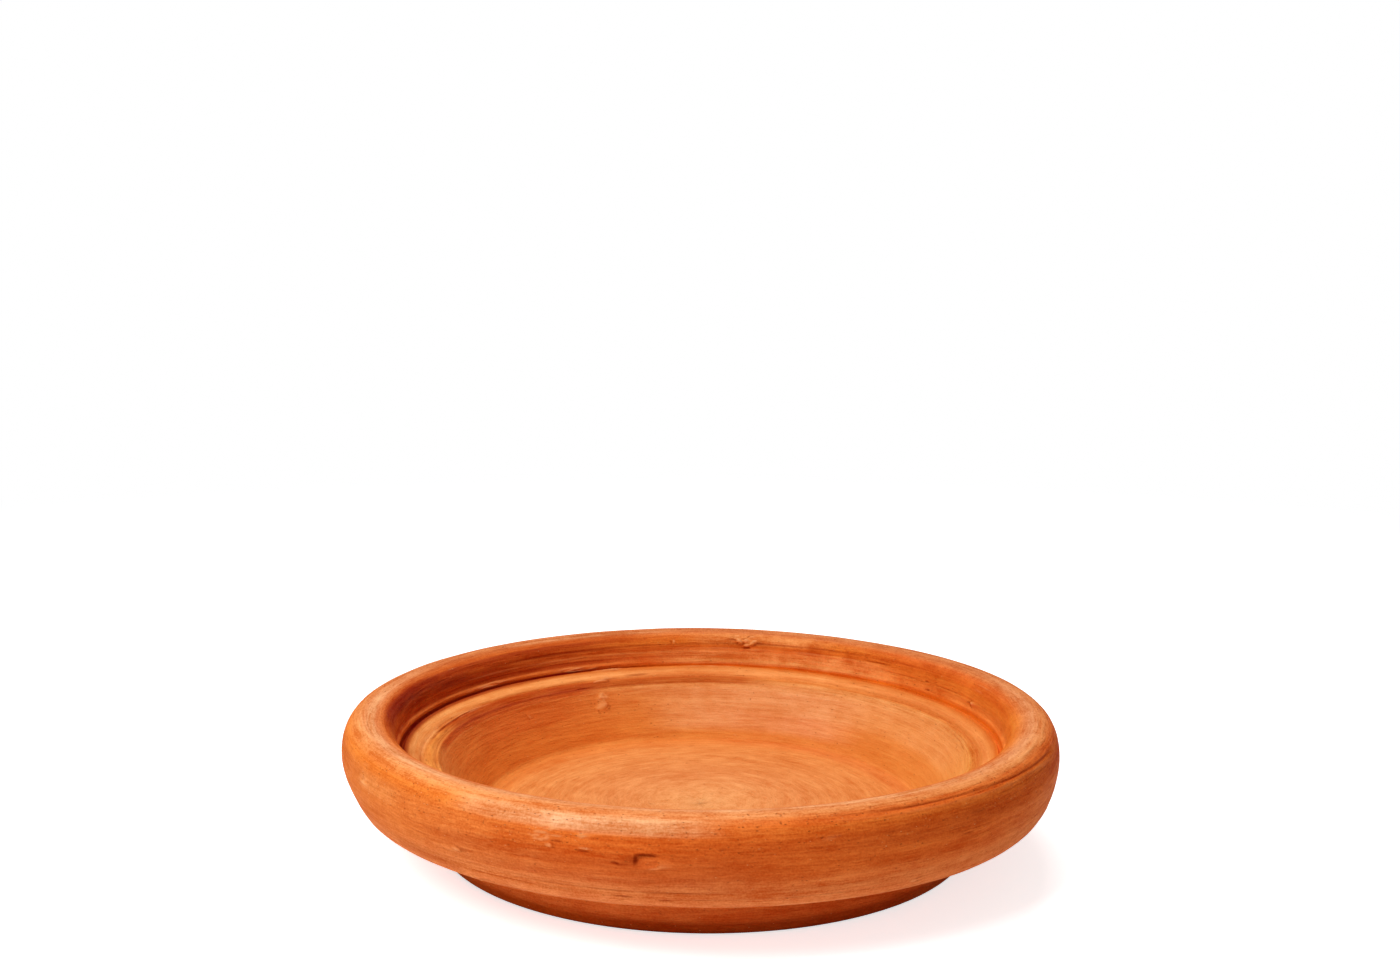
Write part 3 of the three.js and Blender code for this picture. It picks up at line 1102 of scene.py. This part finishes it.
def clayPatterns(tree, place, run, around, laidOut):
    # every pattern of the clay by its name
    low, high, soft = terracotta["grainsOnRoll"]
    usual, more = terracotta["grainCoverage"]
    onRoll = useGroup(tree, between, value=run, low=low, high=high, softness=soft)[0]
    coverage = maths(tree, "MULTIPLY_ADD", onRoll, more, usual)
    found = {}
    for name, (width, count, seed) in terracotta["streaks"].items():
        found[name] = useGroup(
            tree, throwingLines, around=around, run=run, lineWidth=width, lineCount=count, seed=seed
        )[0]
    for name, (size, seed) in terracotta["clouds"].items():
        found[name] = useGroup(tree, clayPatches, coordinate=place, patchSize=size, seed=seed)[0]
    for name, (spacing, size, seed) in terracotta["grains"].items():
        found[name] = useGroup(
            tree, grains, coordinate=laidOut, spacing=spacing, grainSize=size, coverage=coverage, seed=seed
        )[0]
    return found


def addUp(tree, patterns, parts, start=0.0):
    total = start
    for name, weight in parts.items():
        total = maths(tree, "MULTIPLY_ADD", patterns[name], weight, total)
    return total


def terracottaMaterial():
    material = bpy.data.materials.new("terracotta")
    material.use_nodes = True
    tree = material.node_tree
    surface = tree.nodes["Principled BSDF"]
    place = addNode(tree, "ShaderNodeTexCoord").outputs
    run = addNode(tree, "ShaderNodeAttribute", attribute_name="run").outputs["Fac"]
    wheel = useGroup(tree, wheelPlace, coordinate=place["Object"], run=run)
    around = wheel["Around"]
    patterns = clayPatterns(tree, place["Object"], run, around, wheel["Laid Out"])

    # one tone made of the throwing lines, the clay's patches and its grit
    lines = addUp(tree, patterns, terracotta["lineParts"])
    mottle = addUp(tree, patterns, terracotta["mottleParts"])
    smoothed = sideAndRunMask(tree, around, run, **terracotta["smoothed"])
    lineShare = stretch(tree, smoothed, 0.0, 1.0, *terracotta["lineShare"])
    patchShare = stretch(tree, smoothed, 0.0, 1.0, *terracotta["patchShare"])
    tone = maths(tree, "MULTIPLY_ADD", lines, lineShare, maths(tree, "MULTIPLY", mottle, patchShare))
    sandy = maths(tree, "SUBTRACT", addUp(tree, patterns, terracotta["sandParts"]), terracotta["sandMiddle"])
    tone = maths(tree, "MULTIPLY_ADD", sandy, stretch(tree, run, *terracotta["sandShare"]), tone)
    tone = stretch(tree, tone, *terracotta["toneRange"])
    contrast = greyRamp(tree, run, terracotta["contrast"])
    # painted light and shade, by which way the surface faces the lamps
    facing = addNode(tree, "ShaderNodeVectorMath", operation="DOT_PRODUCT")
    feed(tree, facing.inputs[0], place["Normal"])
    feed(tree, facing.inputs[1], terracotta["litSide"])
    litSideFacing = facing.outputs["Value"]
    evened = maths(tree, "MULTIPLY", contrast, stretch(tree, litSideFacing, *terracotta["litSideEvens"]))
    tone = maths(tree, "MULTIPLY_ADD", tone, evened, 0.5, clamp=True)

    colour = makeRamp(tree, run, terracotta["colours"])
    # painted shade on the side turned from the lamps and painted light on the side facing them
    away = tint(tree, colour, terracotta["paintedShadeTint"])
    towards = tint(tree, colour, terracotta["paintedLightTint"])
    colour = mixColour(tree, stretch(tree, litSideFacing, 0.0, 1.0), colour, towards)
    colour = mixColour(tree, stretch(tree, litSideFacing, 0.0, -1.0), colour, away)
    patchy = stretch(tree, mottle, *terracotta["stainAndShadePatches"])
    # the rows are real stains of slip and dust, and painted shade and painted light
    for name, angle, spread, reach, soft, stainOrShadeColour, blend, amount in terracotta["stainsAndPaintedLight"]:
        mask = maths(tree, "MULTIPLY", sideAndRunMask(tree, around, run, angle, spread, reach, soft), patchy)
        mask = maths(tree, "MULTIPLY", mask, amount)
        colour = mixColour(tree, mask, colour, (*stainOrShadeColour, 1), blend, label=name)
    dustiness = greyRamp(tree, run, terracotta["dustiness"])
    paler = mixColour(tree, dustiness, tint(tree, colour, terracotta["paleTone"]), terracotta["dust"])
    colour = mixColour(tree, tone, tint(tree, colour, terracotta["darkTone"]), paler)
    poreMask = maths(tree, "MULTIPLY", patterns["pores"], terracotta["poreAmount"])
    colour = mixColour(tree, poreMask, colour, terracotta["poreColour"])
    speckMask = maths(tree, "MULTIPLY", patterns["specks"], terracotta["speckAmount"])
    colour = mixColour(tree, speckMask, colour, terracotta["speckColour"])
    # the marks' dark is dirt and painted shade, their pale is wear and painted highlight
    shadeAndDirt = addNode(tree, "ShaderNodeAttribute", attribute_name="shadeAndDirt").outputs["Fac"]
    darkOnMarks = maths(tree, "MULTIPLY", shadeAndDirt, 1.0, clamp=True)
    paleOnMarks = maths(tree, "MULTIPLY", shadeAndDirt, -terracotta["rubbedAndLitAmount"], clamp=True)
    colour = mixColour(tree, darkOnMarks, colour, tint(tree, colour, terracotta["dirt"]))
    colour = mixColour(tree, paleOnMarks, colour, terracotta["rubbedAndLitTop"])
    feed(tree, surface.inputs["Base Color"], colour)

    feed(tree, surface.inputs["Specular IOR Level"], terracotta["shine"])
    feed(tree, surface.inputs["Roughness"], stretch(tree, lines, *terracotta["roughness"]))
    rubbed = sideAndRunMask(tree, around, run, **terracotta["rubbed"])
    sheen = maths(tree, "MULTIPLY", rubbed, stretch(tree, tone, *terracotta["sheen"]))
    feed(tree, surface.inputs["Coat Weight"], sheen)
    feed(tree, surface.inputs["Coat Roughness"], terracotta["sheenRoughness"])

    height = addUp(tree, patterns, terracotta["reliefParts"])
    height = maths(tree, "MULTIPLY", height, stretch(tree, contrast, *terracotta["reliefByContrast"]))
    height = addUp(tree, patterns, terracotta["grainRelief"], height)
    relief = addNode(tree, "ShaderNodeBump")
    feed(tree, relief.inputs["Strength"], 1.0)
    feed(tree, relief.inputs["Distance"], 1 * mm)
    feed(tree, relief.inputs["Height"], height)
    feed(tree, surface.inputs["Normal"], relief.outputs[0])
    return material


dish.data.materials.clear()
dish.data.materials.append(terracottaMaterial())
print("clay painted")

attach(dish, "root")
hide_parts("dish")
print("dish handed over")
